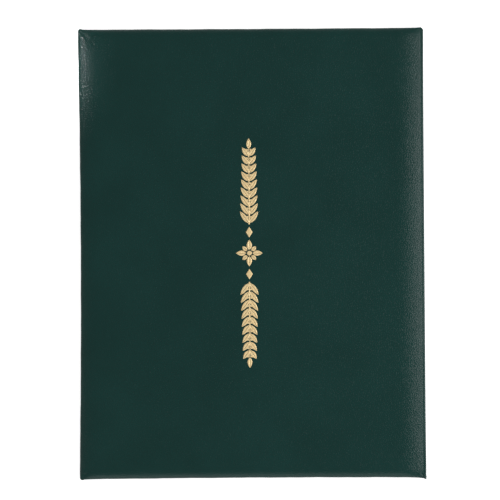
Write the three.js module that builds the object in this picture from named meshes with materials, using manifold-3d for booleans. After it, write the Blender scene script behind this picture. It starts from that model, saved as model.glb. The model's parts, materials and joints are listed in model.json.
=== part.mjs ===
// Padded diploma cover, closed and lying on its back. Millimetres, +Z up.
// +X points to the spine, +Y to the head of the cover, +Z out of the padded front.
// The origin is in the middle of the underside.
import * as THREE from 'three';
import { mergeVertices } from 'three/addons/utils/BufferGeometryUtils.js';
import Module from 'manifold-3d';

const wasm = await Module();
wasm.setup();

// Certificate that the cover is made for, and how much larger the closed cover is
const certificateWidth = 215.9;
const certificateLength = 279.4;
const coverOverWidth = 12.7;
const coverOverLength = 19.05;

// Closed cover, seen from above
const coverWidth = certificateWidth + coverOverWidth;
const coverLength = certificateLength + coverOverLength;
const freeEdgeBow = 1.4; // how far the middle of the free edge is pulled in
const coverCornerRadius = 1;

// Sheets, boards and pad, by thickness
const leatherette = 0.5;
const backBoard = 2;
const frontBoard = 2;
const padding = 3;
const liningCard = 0.6;
const liningRise = 0.1; // what the lining card adds above its bed, over the turn-ins
const clearFilm = 0.2;
const ribbon = 0.3;
const hingeLining = 0.4;
const foil = 0.1;

// Turn-ins and linings, by width
const turnIn = 15;
const liningMargin = 3.5;
const liningCornerRadius = 1.5;
const hingeFlange = 12;
const closedGap = 0.3; // air between the ribbons and the front lining

// The roll from the flat top of the padding down to the board's edge
const freeRoll = 12;
const endRoll = 6;
const spineSlope = 17.5;
const rollFoot = 0.2; // upright stretch above the board before the roll starts
const cornerGrowth = 0.8; // how fast the corners round out towards the top

// Hinge
const hingeBridge = 1.5; // leatherette between the boards' edges and the spine
const foldClearance = 0.3;
const spineTurnIn = 15;

// Ribbon corners
const ribbonWidth = 10;
const ribbonReach = 34; // from the lining's corner to the ribbon's far edge, along each side
const ribbonTuck = 5;
const ribbonCut = 5; // bevel where a tuck would meet the next one

// Foil ornament along the middle of the front
const ornamentLength = 152;
const ornamentOffset = -1.8; // towards the free edge
const rosetteReach = 8.8;
const petalWidth = 3.4;
const rosetteEye = 2.1;
const diamondLength = 7;
const diamondWidth = 4.4;
const ornamentGap = 1.6; // bare leatherette between the pieces of foil
const leafPairs = 9;
const leafLength = 10;
const tipLeafLength = 7;
const leafWidth = 3.1;
const leafAngle = 36; // degrees from the stem
const stemWidth = 0.9;
const berryRadius = 0.85;

// Clearances and fineness
const fit = 0.2; // between a board, pad or bed and what wraps it
const overshoot = 5; // how far a cutter runs past what it cuts
const rollSteps = 6;
const bowSteps = 12;
const cornerSteps = 4;
const leafSteps = 5;
const berrySteps = 8;
const mergeTolerance = 1e-4;

// Heights of each layer, from the table up
const backBoardBottom = leatherette;
const backBoardTop = backBoardBottom + backBoard;
const backTurnInTop = backBoardTop + leatherette;
const backLiningTop = backTurnInTop + liningCard;
const filmTop = backLiningTop + clearFilm;
const ribbonTop = filmTop + ribbon;
const frontLiningBottom = ribbonTop + closedGap;
const frontTurnInBottom = frontLiningBottom + liningCard;
const frontBoardBottom = frontTurnInBottom + leatherette;
const frontBoardTop = frontBoardBottom + frontBoard;
const padTop = frontBoardTop + padding;
const frontTop = padTop + leatherette;

// Plan positions
const freeEdge = -coverWidth / 2;
const spineFace = coverWidth / 2;
const foldX = spineFace - leatherette;
const coverEnd = coverLength / 2;
const sheetEdge = foldX - foldClearance;
const boardSpineEdge = foldX - hingeBridge;
const boardFreeEdge = freeEdge + leatherette + fit;
const boardEnd = coverEnd - leatherette - fit;

// Fold lines: each fold turns about the inner corner of the sheet
const lowerFoldZ = leatherette;
const upperFoldZ = frontBoardTop + rollFoot;

const material = (color, roughness, metalness = 0) =>
  new THREE.MeshStandardMaterial({ color, roughness, metalness });
const greenLeatherette = material(0x1b3833, 0.5);
const greyboard = material(0x8d8578, 0.95);
const paddingFoam = material(0xe9e4d2, 0.98);
const ivoryMoire = material(0xe9e2cf, 0.55);
const filmMaterial = new THREE.MeshStandardMaterial({
  color: 0xffffff,
  roughness: 0.08,
  transparent: true,
  opacity: 0.25,
});
const greenSatin = material(0x1f4a40, 0.4);
const paleGold = material(0xcbb98e, 0.35, 0.6);

/** Outline between a free side, a spine side and two ends, with a bowed free side. */
function outline({ left, right, end, bow = 0, leftCorner = 0, rightCorner = 0 }) {
  const shape = new THREE.Shape();
  shape.moveTo(left + leftCorner, -end);
  shape.lineTo(right - rightCorner, -end);
  if (rightCorner > 0) {
    shape.absarc(right - rightCorner, -end + rightCorner, rightCorner, -Math.PI / 2, 0);
  }
  shape.lineTo(right, end - rightCorner);
  if (rightCorner > 0) {
    shape.absarc(right - rightCorner, end - rightCorner, rightCorner, 0, Math.PI / 2);
  }
  shape.lineTo(left + leftCorner, end);
  if (leftCorner > 0) {
    shape.absarc(left + leftCorner, end - leftCorner, leftCorner, Math.PI / 2, Math.PI);
  }
  if (bow > 0) {
    shape.quadraticCurveTo(left + 2 * bow, 0, left, -end + leftCorner);
  }
  if (leftCorner > 0) {
    shape.absarc(left + leftCorner, -end + leftCorner, leftCorner, Math.PI, 1.5 * Math.PI);
  }
  return shape;
}

/** The outline's points, with as many on each curve as its kind asks for, and none twice. */
function outlinePoints(shape) {
  const points = [];
  for (const curve of shape.curves) {
    let steps = 1;
    if (curve.isEllipseCurve) steps = cornerSteps;
    if (curve.isQuadraticBezierCurve) steps = bowSteps;
    points.push(...curve.getPoints(steps));
  }
  return points.filter((point, i) => {
    const next = points[(i + 1) % points.length];
    return point.distanceTo(next) > mergeTolerance;
  });
}

/** Straight-sided solid of an outline between two heights. */
function slab(shape, bottom, top) {
  const flat = new THREE.Shape(outlinePoints(shape));
  const geometry = new THREE.ExtrudeGeometry(flat, { depth: top - bottom, bevelEnabled: false });
  return geometry.translate(0, 0, bottom);
}

/** Box between two corners. */
function block(x0, x1, y0, y1, z0, z1) {
  const geometry = new THREE.BoxGeometry(x1 - x0, y1 - y0, z1 - z0);
  return geometry.translate((x0 + x1) / 2, (y0 + y1) / 2, (z0 + z1) / 2);
}

/** Closed solid through a stack of outlines with as many points each, bottom first. */
function loft(rings) {
  const count = rings[0].points.length;
  const position = rings.flatMap(({ points, z }) => points.flatMap((p) => [p.x, p.y, z]));
  const index = [];
  for (let k = 0; k < rings.length - 1; k += 1) {
    for (let i = 0; i < count; i += 1) {
      const a = k * count + i;
      const b = k * count + ((i + 1) % count);
      index.push(a, b, b + count, a, b + count, a + count);
    }
  }
  const last = (rings.length - 1) * count;
  for (const [a, b, c] of THREE.ShapeUtils.triangulateShape(rings[0].points, [])) {
    index.push(a, c, b);
  }
  for (const [a, b, c] of THREE.ShapeUtils.triangulateShape(rings.at(-1).points, [])) {
    index.push(last + a, last + b, last + c);
  }
  const geometry = new THREE.BufferGeometry();
  geometry.setAttribute('position', new THREE.Float32BufferAttribute(position, 3));
  geometry.setIndex(index);
  return geometry;
}

/** A three.js geometry as a solid that can be joined and cut. */
function solid(geometry) {
  const bare = geometry.clone();
  bare.deleteAttribute('normal');
  bare.deleteAttribute('uv');
  const merged = mergeVertices(bare, mergeTolerance);
  const vertProperties = merged.attributes.position.array;
  const triVerts = Uint32Array.from(merged.index.array);
  return new wasm.Manifold(new wasm.Mesh({ numProp: 3, vertProperties, triVerts }));
}

/** A solid back as a three.js geometry. */
function geometryOf(body) {
  const mesh = body.getMesh();
  const geometry = new THREE.BufferGeometry();
  geometry.setAttribute('position', new THREE.Float32BufferAttribute(mesh.vertProperties, 3));
  geometry.setIndex(new THREE.BufferAttribute(mesh.triVerts, 1));
  geometry.computeVertexNormals();
  return geometry;
}

const joined = (geometries) => geometries.map(solid).reduce((a, b) => a.add(b));

/** The first geometry without the others. */
function cut(geometry, ...cutters) {
  return geometryOf(cutters.map(solid).reduce((a, b) => a.subtract(b), solid(geometry)));
}

const diplomaCover = new THREE.Group();

/** Adds one named piece to the cover. */
function piece(name, geometry, pieceMaterial) {
  const mesh = new THREE.Mesh(geometry, pieceMaterial);
  mesh.name = name;
  diplomaCover.add(mesh);
}

/** Outline of a cover sheet, grown inwards by an inset on the free side and the ends. */
function sheetOutline(inset, right) {
  const leftCorner = Math.max(coverCornerRadius - inset, 0);
  const left = freeEdge + inset;
  return outline({ left, right, end: coverEnd - inset, bow: freeEdgeBow, leftCorner });
}

/** Outline of the window that the turn-ins leave open on a board. */
function turnInWindow() {
  const left = freeEdge + turnIn;
  return outline({ left, right: foldX + overshoot, end: coverEnd - turnIn, bow: freeEdgeBow });
}

const boardOutline = outline({
  left: boardFreeEdge,
  right: boardSpineEdge,
  end: boardEnd,
  bow: freeEdgeBow,
  leftCorner: coverCornerRadius,
});

/**
 * Rings of the padded form: upright to the foot of the roll, then rolled over to the flat top.
 * On the free side and the ends the roll is a quarter ellipse, on the spine side a parabola.
 */
function paddedRings({ bottom, foot, top, inset, right, cornerRadius }) {
  const ring = (z, rise) => {
    const ellipse = 1 - Math.sqrt(1 - rise * rise);
    const parabola = 1 - Math.sqrt(1 - rise);
    const corner = cornerRadius + cornerGrowth * endRoll * ellipse;
    const shape = outline({
      left: freeEdge + inset + freeRoll * ellipse,
      right: right - spineSlope * parabola,
      end: coverEnd - inset - endRoll * ellipse,
      bow: freeEdgeBow,
      leftCorner: corner,
      rightCorner: corner,
    });
    return { points: outlinePoints(shape), z };
  };
  const rings = [ring(bottom, 0)];
  for (let i = 0; i <= rollSteps; i += 1) {
    const rise = Math.sin((i / rollSteps) * (Math.PI / 2));
    const z = foot + (top - foot) * rise;
    if (z - rings.at(-1).z > mergeTolerance) rings.push(ring(z, rise));
  }
  return rings;
}

// Back: the leatherette tray, its board and the hinge lining's lower flange

const behindHingeLeg = boardSpineEdge + fit + hingeLining;
piece(
  'back_leatherette',
  cut(
    slab(sheetOutline(0, sheetEdge), 0, backTurnInTop),
    slab(sheetOutline(leatherette, foldX + overshoot), backBoardBottom, backBoardTop),
    slab(turnInWindow(), backBoardTop - fit, backTurnInTop + overshoot),
    block(
      behindHingeLeg,
      foldX + overshoot,
      -coverLength,
      coverLength,
      backBoardBottom,
      backTurnInTop + overshoot
    )
  ),
  greenLeatherette
);

piece('back_board', slab(boardOutline, backBoardBottom, backBoardTop), greyboard);

const windowEnd = coverEnd - turnIn - fit;

/**
 * Hinge lining on one board: a flange glued on the board's inner face between the turn-ins,
 * and a leg down the board's spine edge. flip is 1 on the back and -1 on the front.
 */
function hingeFlangeOn(boardFace, boardFarFace, flip) {
  const low = Math.min(boardFace, boardFace + flip * hingeLining);
  const high = Math.max(boardFace, boardFace + flip * hingeLining);
  const legLow = Math.min(boardFarFace, boardFace + flip * hingeLining);
  const legHigh = Math.max(boardFarFace, boardFace + flip * hingeLining);
  const outer = boardSpineEdge + fit + hingeLining;
  const flange = block(boardSpineEdge - hingeFlange, outer, -windowEnd, windowEnd, low, high);
  const leg = block(boardSpineEdge + fit, outer, -windowEnd, windowEnd, legLow, legHigh);
  return geometryOf(joined([flange, leg]));
}

piece('back_hinge_lining', hingeFlangeOn(backBoardTop, backBoardBottom + fit, 1), greenLeatherette);

// Linings: a card over the turn-ins, with a bed that fills the window between them

const liningLeft = freeEdge + liningMargin;
const liningRight = boardSpineEdge - liningMargin;
const liningEnd = coverEnd - liningMargin;
const liningOutline = outline({
  left: liningLeft,
  right: liningRight,
  end: liningEnd,
  leftCorner: liningCornerRadius,
  rightCorner: liningCornerRadius,
});
const bedOutline = outline({
  left: freeEdge + turnIn + freeEdgeBow + fit,
  right: boardSpineEdge - hingeFlange - fit,
  end: windowEnd,
});

/** One ribbon corner's parts: sx and sy say which corner of the lining it crosses. */
function ribbonParts(sx, sy) {
  const cornerX = sx > 0 ? liningRight : liningLeft;
  const cornerY = sy * liningEnd;
  const at = (alongX, alongY) => [cornerX - sx * alongX, cornerY - sy * alongY];
  const across = ribbonWidth * Math.SQRT2;
  const inner = ribbonReach;
  const outer = ribbonReach - across;
  const lip = fit + ribbon;
  const shapeOf = (corners) => {
    const points = corners.map(([x, y]) => new THREE.Vector2(x, y));
    return new THREE.Shape(THREE.ShapeUtils.isClockWise(points) ? points.reverse() : points);
  };
  const strip = shapeOf([
    at(inner, -lip),
    at(outer, -lip),
    at(-lip, outer),
    at(-lip, inner),
  ]);
  const legX = shapeOf([at(inner, -lip), at(inner, -fit), at(outer, -fit), at(outer, -lip)]);
  const legY = shapeOf([at(-lip, inner), at(-fit, inner), at(-fit, outer), at(-lip, outer)]);
  const tuckX = shapeOf([
    at(inner, -lip),
    at(outer, -lip),
    at(outer + ribbonCut, ribbonTuck),
    at(inner, ribbonTuck),
  ]);
  const tuckY = shapeOf([
    at(-lip, inner),
    at(-lip, outer),
    at(ribbonTuck, outer + ribbonCut),
    at(ribbonTuck, inner),
  ]);
  return { strip, legs: [legX, legY], tucks: [tuckX, tuckY] };
}

const ribbonCorners = {
  ribbon_spine_head: ribbonParts(1, 1),
  ribbon_spine_tail: ribbonParts(1, -1),
  ribbon_free_head: ribbonParts(-1, 1),
  ribbon_free_tail: ribbonParts(-1, -1),
};

/** Slot under the lining card for a ribbon's tuck: the tuck's outline grown by the fit. */
function tuckSlot(tuck) {
  const centre = new THREE.Vector2();
  const corners = tuck.getPoints();
  corners.forEach((corner) => centre.addScaledVector(corner, 1 / corners.length));
  const grown = corners.map((corner) => {
    const away = corner.clone().sub(centre);
    return centre.clone().addScaledVector(away, 1 + (2 * fit) / away.length());
  });
  return slab(new THREE.Shape(grown), backTurnInTop - fit, backTurnInTop + ribbon + liningRise);
}

const backLining = joined([
  slab(liningOutline, backTurnInTop, backLiningTop),
  slab(bedOutline, backBoardTop, backLiningTop - liningCard / 2),
]);
const tuckSlots = Object.values(ribbonCorners).flatMap(({ tucks }) => tucks.map(tuckSlot));
piece(
  'back_lining',
  geometryOf(tuckSlots.map(solid).reduce((a, b) => a.subtract(b), backLining)),
  ivoryMoire
);

const liningMiddle = (liningLeft + liningRight) / 2;
piece(
  'clear_film',
  block(
    liningMiddle - certificateWidth / 2,
    liningMiddle + certificateWidth / 2,
    -certificateLength / 2,
    certificateLength / 2,
    backLiningTop,
    filmTop
  ),
  filmMaterial
);

for (const [name, { strip, legs, tucks }] of Object.entries(ribbonCorners)) {
  const parts = [slab(strip, filmTop, ribbonTop)];
  legs.forEach((leg) => parts.push(slab(leg, backTurnInTop, ribbonTop)));
  tucks.forEach((tuck) => parts.push(slab(tuck, backTurnInTop, backTurnInTop + ribbon)));
  piece(name, geometryOf(joined(parts)), greenSatin);
}

// Spine: the strip between the two folds, turned in at head and tail, and its lining

/** Plan of the spine: a strip that is doubled at head and tail by its turn-ins. */
function spineOutline() {
  const inner = spineFace - leatherette;
  const flap = inner - leatherette;
  const flapStart = coverEnd - spineTurnIn;
  const shape = new THREE.Shape();
  shape.moveTo(spineFace, -coverEnd);
  shape.lineTo(spineFace, coverEnd);
  shape.lineTo(flap, coverEnd);
  shape.lineTo(flap, flapStart);
  shape.lineTo(inner, flapStart);
  shape.lineTo(inner, -flapStart);
  shape.lineTo(flap, -flapStart);
  shape.lineTo(flap, -coverEnd);
  return shape;
}

const spineBottom = lowerFoldZ + foldClearance;
const spineTop = upperFoldZ - foldClearance;
piece(
  'spine_leatherette',
  slab(spineOutline(), spineBottom, spineTop),
  greenLeatherette
);

const spineLiningEnd = coverEnd - spineTurnIn - fit;
piece(
  'spine_lining',
  block(
    foldX - hingeLining,
    foldX,
    -spineLiningEnd,
    spineLiningEnd,
    spineBottom + foldClearance,
    spineTop - foldClearance
  ),
  greenLeatherette
);

// Front: lining, hinge flange, board, foam pad and the padded leatherette

piece(
  'front_lining',
  geometryOf(
    joined([
      slab(liningOutline, frontLiningBottom, frontTurnInBottom),
      slab(bedOutline, frontLiningBottom + liningCard / 2, frontBoardBottom),
    ])
  ),
  ivoryMoire
);

piece(
  'front_hinge_lining',
  hingeFlangeOn(frontBoardBottom, frontBoardTop - fit, -1),
  greenLeatherette
);

piece('front_board', slab(boardOutline, frontBoardBottom, frontBoardTop), greyboard);

piece(
  'foam_pad',
  loft(
    paddedRings({
      bottom: frontBoardTop,
      foot: frontBoardTop,
      top: padTop,
      inset: leatherette + fit,
      right: boardSpineEdge,
      cornerRadius: coverCornerRadius,
    })
  ),
  paddingFoam
);

const paddedOutside = loft(
  paddedRings({
    bottom: frontTurnInBottom,
    foot: upperFoldZ + leatherette,
    top: frontTop,
    inset: 0,
    right: sheetEdge,
    cornerRadius: coverCornerRadius,
  })
);
const paddedInside = loft(
  paddedRings({
    bottom: frontBoardBottom,
    foot: upperFoldZ,
    top: padTop,
    inset: leatherette,
    right: sheetEdge,
    cornerRadius: coverCornerRadius - leatherette,
  })
);
piece(
  'front_leatherette',
  cut(
    paddedOutside,
    paddedInside,
    slab(turnInWindow(), frontTurnInBottom - overshoot, frontBoardBottom + fit),
    block(
      behindHingeLeg,
      foldX + overshoot,
      -coverLength,
      coverLength,
      frontTurnInBottom - overshoot,
      upperFoldZ
    )
  ),
  greenLeatherette
);

// Foil ornament: a rosette between two diamonds, and a laurel spray to head and to tail

/** Pointed leaf from a base point, turned by an angle from +Y. */
function leafShape(x, y, length, width, angle) {
  const along = new THREE.Vector2(Math.sin(angle), Math.cos(angle));
  const side = new THREE.Vector2(along.y, -along.x);
  const place = (t, s) =>
    new THREE.Vector2(x, y).addScaledVector(along, t * length).addScaledVector(side, s * width);
  const right = new THREE.QuadraticBezierCurve(place(0, 0), place(0.4, 1), place(1, 0));
  const left = new THREE.QuadraticBezierCurve(place(1, 0), place(0.4, -1), place(0, 0));
  const points = [...right.getPoints(leafSteps), ...left.getPoints(leafSteps).slice(1, -1)];
  return new THREE.Shape(points.reverse());
}

const foilSlab = (shape) => slab(shape, frontTop, frontTop + foil);

/** Regular polygon as a foil shape. */
function disc(x, y, radius) {
  const points = [];
  for (let i = 0; i < berrySteps; i += 1) {
    const angle = (2 * Math.PI * i) / berrySteps;
    points.push(new THREE.Vector2(x + radius * Math.cos(angle), y + radius * Math.sin(angle)));
  }
  return new THREE.Shape(points);
}

const petals = [];
for (let i = 0; i < 8; i += 1) {
  const length = i % 2 === 0 ? rosetteReach : 0.72 * rosetteReach;
  petals.push(leafShape(0, 0, length, petalWidth, (i * Math.PI) / 4));
}
const rosette = geometryOf(joined([...petals, disc(0, 0, rosetteEye)].map(foilSlab)));
piece('foil_rosette', rosette.translate(ornamentOffset, 0, 0), paleGold);

const diamondY = rosetteReach + ornamentGap + diamondLength / 2;
const sprayStart = diamondY + diamondLength / 2 + ornamentGap;
const sprayEnd = ornamentLength / 2;

/** Diamond with its long way along the ornament. */
function diamond(y) {
  const shape = new THREE.Shape();
  shape.moveTo(0, y - diamondLength / 2);
  shape.lineTo(diamondWidth / 2, y);
  shape.lineTo(0, y + diamondLength / 2);
  shape.lineTo(-diamondWidth / 2, y);
  return shape;
}

/** Laurel spray along +Y: a tapering stem, pairs of leaves, berries and a leaf at the tip. */
function laurelSpray() {
  const stemEnd = sprayEnd - tipLeafLength;
  const shapes = [leafShape(0, stemEnd - stemWidth, tipLeafLength + stemWidth, leafWidth, 0)];
  const stem = new THREE.Shape();
  stem.moveTo(-stemWidth / 2, sprayStart);
  stem.lineTo(stemWidth / 2, sprayStart);
  stem.lineTo(stemWidth / 3, stemEnd);
  stem.lineTo(-stemWidth / 3, stemEnd);
  shapes.push(stem);
  const step = (stemEnd - sprayStart) / leafPairs;
  for (let i = 0; i < leafPairs; i += 1) {
    const y = sprayStart + i * step + stemWidth;
    const length = leafLength + ((tipLeafLength - leafLength) * i) / leafPairs;
    for (const side of [-1, 1]) {
      const angle = side * THREE.MathUtils.degToRad(leafAngle);
      shapes.push(leafShape(0, y, length, leafWidth, angle));
      shapes.push(disc(side * (stemWidth / 2 + berryRadius * 0.7), y + step * 0.72, berryRadius));
    }
  }
  return shapes;
}

/** A foil piece for one half of the ornament: turned half round for the tail. */
function foilHalf(name, shapes, turn) {
  const geometry = geometryOf(joined(shapes.map(foilSlab)));
  geometry.rotateZ(turn).translate(ornamentOffset, 0, 0);
  piece(name, geometry, paleGold);
}

foilHalf('foil_diamond_head', [diamond(diamondY)], 0);
foilHalf('foil_diamond_tail', [diamond(diamondY)], Math.PI);
foilHalf('foil_laurel_head', laurelSpray(), 0);
foilHalf('foil_laurel_tail', laurelSpray(), Math.PI);

export default diplomaCover;
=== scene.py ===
"""Padded green diploma cover, closed and lying on its back, seen from straight above.

Lengths below are in millimetres and become metres where a mesh is made. +X points to the spine, +Y to the
head of the cover and +Z out of its padded front, as in the CAD model.
"""
import json
import math

import bpy
import numpy as np
from mathutils import Matrix, Vector


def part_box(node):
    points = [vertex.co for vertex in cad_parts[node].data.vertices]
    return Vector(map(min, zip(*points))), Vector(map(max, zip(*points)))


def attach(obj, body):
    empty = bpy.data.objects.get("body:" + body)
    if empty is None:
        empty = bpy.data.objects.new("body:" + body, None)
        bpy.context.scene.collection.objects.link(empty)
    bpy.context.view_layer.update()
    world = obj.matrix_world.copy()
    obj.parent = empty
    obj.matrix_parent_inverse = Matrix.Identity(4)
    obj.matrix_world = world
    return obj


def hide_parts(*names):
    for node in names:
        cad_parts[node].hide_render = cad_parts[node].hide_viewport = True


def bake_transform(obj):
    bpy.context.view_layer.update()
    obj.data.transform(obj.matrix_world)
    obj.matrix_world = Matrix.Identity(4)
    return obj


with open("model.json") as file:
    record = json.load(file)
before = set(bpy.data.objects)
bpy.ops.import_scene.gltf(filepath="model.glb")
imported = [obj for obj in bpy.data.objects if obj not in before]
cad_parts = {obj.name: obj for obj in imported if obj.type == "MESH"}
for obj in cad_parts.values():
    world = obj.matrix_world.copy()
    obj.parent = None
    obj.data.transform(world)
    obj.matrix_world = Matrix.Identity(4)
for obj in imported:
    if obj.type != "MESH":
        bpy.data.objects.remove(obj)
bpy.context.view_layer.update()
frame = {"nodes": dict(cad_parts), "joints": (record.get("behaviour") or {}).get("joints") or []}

MM = 0.001


def node_box(name):
    """Lowest and highest corner of a CAD node, in millimetres."""
    low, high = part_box(name)
    return np.array(low) / MM, np.array(high) / MM


# Places taken from the CAD model

FRONT_LOW, FRONT_HIGH = node_box("front_leatherette")
BACK_LOW, BACK_HIGH = node_box("back_leatherette")
SPINE_LOW, SPINE_HIGH = node_box("spine_leatherette")
FOLD = {j["name"]: np.array(j["pos_m"]) / MM for j in frame["joints"]}

SHEET = node_box("back_board")[0][2] - BACK_LOW[2]  # thickness of the leatherette
FREE_EDGE = FRONT_LOW[0]
HALF_LENGTH = FRONT_HIGH[1]
SPINE_FACE = SPINE_HIGH[0]
FRONT_TOP = FRONT_HIGH[2]
FOOT = FOLD["cover_fold"][2] + SHEET  # where the roll of the padding starts
SEAM_X = node_box("front_hinge_lining")[1][0]  # where the covers' sheets meet the spine's
SHEET_EDGE = FRONT_HIGH[0]

# Form of the cover: how far the middle of each edge is pulled in

FREE_BOW = 1.4
HEAD_BOW = 0.17
TAIL_BOW = 0.5

# How wide the padding rolls down to each edge

FREE_ROLL = 12.0
END_ROLL = 6.0
SPINE_SLOPE = 17.5

# Free corners

CORNER_RADIUS = 1.0
CORNER_GROWTH = 0.8  # how fast they round out over the roll of the padding
CORNER_FADE = 54.0  # how far in their rounding has died away
NUB_HEIGHT = 0.4  # the folded sheet stands out there
NUB_WIDTH = 1.0
NUB_PLACE = 1.2
NUB_FADE = 0.8

# Spine corners, where the turned-in sheet stands out

WEDGE = 0.9
WEDGE_WIDTH = 2.6
HEAD_SHARE = 0.45  # size of the wedge and the pleats at the head against the tail's

# Edges

FREE_SWELL = 0.75  # how far the padding bulges over the board's free edge
BACK_SWELL_SHARE = 0.2
SWELL_FADE = 3.0  # how far in from the edge the bulge reaches
FREE_POWER, END_POWER, BOW_POWER = 30, 31, 5  # how steeply an edge's form dies away inwards
END_RIPPLE_SHIFT = 40.0  # so that the ends aren't uneven in step with the free edge
EDGE_ROUND = 0.6  # where a wall turns under the board
EDGE_ROUND_STEPS = 5
WALL_SHARES = (0.2, 0.4, 0.6, 0.8, 1.0)
WALL_BULGE = 0.1
WALL_SWELL_REACH = 2.4
TURN_IN = 15.0
TURN_IN_RINGS = (1.2, 2.2, 4.0, 7.0, 11.0, TURN_IN)
UPPER_FOLD_RADIUS = 1.3
LOWER_FOLD_RADIUS = 1.0

# Steps of the covers' meshes

MESH_STEP = 2.6
FREE_STEP = 0.8
SPINE_STEP = 0.35
END_STEP = 0.6
SPINE_STEP_GROWTH = 1.12
MIDDLE_SHARE = 0.6  # where the steps from the free edge meet those from the spine


def graded(length, fine, coarse, growth=1.25):
    """Positions from 0 to length whose steps grow from fine at both ends to coarse in the middle."""
    steps = [fine]
    while sum(steps) < length / 2:
        steps.append(min(steps[-1] * growth, coarse))
    half = np.concatenate([[0.0], np.cumsum(steps)]) * (length / 2 / sum(steps))
    return np.concatenate([half, length - half[-2::-1]])


# Meshes


def make_mesh(name, points, faces, body=None):
    """A mesh object from an array of points in millimetres and an array of quads."""
    mesh = bpy.data.meshes.new(name)
    mesh.from_pydata((points * MM).tolist(), [], faces.tolist())
    mesh.validate()
    mesh.polygons.foreach_set("use_smooth", [True] * len(mesh.polygons))
    piece = bpy.data.objects.new(name, mesh)
    bpy.context.scene.collection.objects.link(piece)
    if body:
        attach(piece, body)
    return piece


def grid_faces(index, flip=False):
    """Quads between the neighbours of a rows by columns array of point numbers."""
    a, b, c, d = index[:-1, :-1], index[:-1, 1:], index[1:, 1:], index[1:, :-1]
    quads = np.stack([a, d, c, b] if flip else [a, b, c, d], axis=-1)
    return quads.reshape(-1, 4)


def shell(top, bottom, flip=False):
    """Points and quads of the closed body between two grids of the same size, walls included."""
    rows, columns = top.shape[:2]
    count = rows * columns
    upper = np.arange(count).reshape(rows, columns)
    lower = upper + count
    loop = np.concatenate([upper[0, :-1], upper[:-1, -1], upper[-1, :0:-1], upper[:0:-1, 0]])
    loop = np.append(loop, loop[0])
    walls = grid_faces(np.stack([loop, loop + count]), not flip)
    faces = np.concatenate([grid_faces(upper, flip), grid_faces(lower, not flip), walls])
    return np.concatenate([top.reshape(-1, 3), bottom.reshape(-1, 3)]), faces


def normals_of(grid):
    """Unit normals of a grid: the cross product of its two directions."""
    along_rows = np.gradient(grid, axis=0)
    along_columns = np.gradient(grid, axis=1)
    normal = np.cross(along_columns, along_rows)
    return normal / np.maximum(np.linalg.norm(normal, axis=-1, keepdims=True), 1e-12)


def merged(parts):
    """Several (points, faces) pairs as one."""
    points, faces, start = [], [], 0
    for part_points, part_faces in parts:
        points.append(part_points)
        faces.append(part_faces + start)
        start += len(part_points)
    return np.concatenate(points), np.concatenate(faces)


def modify(piece, kind, **settings):
    """Adds a modifier with its settings."""
    modifier = piece.modifiers.new(kind.lower(), kind)
    for key, value in settings.items():
        setattr(modifier, key, value)


# Covers: one sheet over a board, with walls and turn-ins on three sides


def corner_radius(inset):
    """Radius of the free corners: grows in a line over the roll of the padding, then dies away inwards."""
    growing = CORNER_RADIUS + CORNER_GROWTH * np.clip(inset, 0, END_ROLL)
    return growing * (1 - np.clip((inset - END_ROLL) / CORNER_FADE, 0, 1))


def plan(a, b, inset, radius, swell=1.0):
    """Plan place of a point a from the free edge and b from the middle of the length.

    The point lies on the rectangle that is inset from the cover's edges. Near the two free corners it
    is pushed from the corner's centre on to an arc of the radius. The three edges bow in by parabolas,
    the free edge swells out by a share and the folded sheet makes a nub at each free corner.
    """
    centre_a = inset + radius
    centre_b = HALF_LENGTH - inset - radius
    da = np.minimum(a - centre_a, 0)
    db = np.maximum(np.abs(b) - centre_b, 0)
    length = np.maximum(np.hypot(da, db), 1e-9)
    near = (da < 0) & (db > 0)
    a = np.where(near, centre_a + da / length * radius, a)
    b = np.where(near, centre_b + db / length * radius, np.abs(b)) * np.where(b < 0, -1, 1)
    width = SPINE_FACE - FREE_EDGE
    across = 1 - a / width
    along = b / HALF_LENGTH
    outwards = FREE_SWELL * swell * (1 - 0.5 * np.exp((np.abs(b) - HALF_LENGTH) / SWELL_FADE))
    x = a + FREE_BOW * (1 - along**2) * across - outwards * np.exp(-np.maximum(a, 0) / SWELL_FADE)
    x = x + edge_ripple(b) * across**FREE_POWER
    end_bow = np.where(b < 0, TAIL_BOW, HEAD_BOW) * (1 - (1 - 2 * a / width) ** 2)
    nub = NUB_HEIGHT * np.exp(-(((a - NUB_PLACE) / NUB_WIDTH) ** 2))
    nub = nub * np.exp(np.minimum(np.abs(b) - HALF_LENGTH, 0) / NUB_FADE)
    wedge = WEDGE * np.exp((a - width) / WEDGE_WIDTH) * along**END_POWER
    y = b - along**BOW_POWER * end_bow + np.sign(b) * nub + np.where(b < 0, 1.0, HEAD_SHARE) * wedge
    return FREE_EDGE + x, y + edge_ripple(a + END_RIPPLE_SHIFT) * along**END_POWER


EDGE_WAVES = [
    # radians per millimetre; phase; height in millimetres
    (0.31, 0.3, 0.035),
    (0.143, 1.9, 0.045),
    (0.67, 4.4, 0.02),
]


def edge_ripple(place):
    """Tiny unevenness of a wrapped edge along its length: three waves added up."""
    return sum(height * np.sin(pace * place + phase) for pace, phase, height in EDGE_WAVES)


def rolled(roll, steps=15):
    """Distances from an edge with even turns along a quarter ellipse of the roll's width."""
    return roll * (1 - np.cos(np.linspace(0, math.pi / 2, steps)))


def opened_out(start, end, step, coarse, growth=1.2):
    """Positions from start towards end whose steps grow to coarse; the last one is at end."""
    places = [start]
    while places[-1] + step < end:
        places.append(places[-1] + step)
        step = min(step * growth, coarse)
    places = np.array(places)
    return start + (places - start) * (end - start) / (places[-1] - start)


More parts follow.
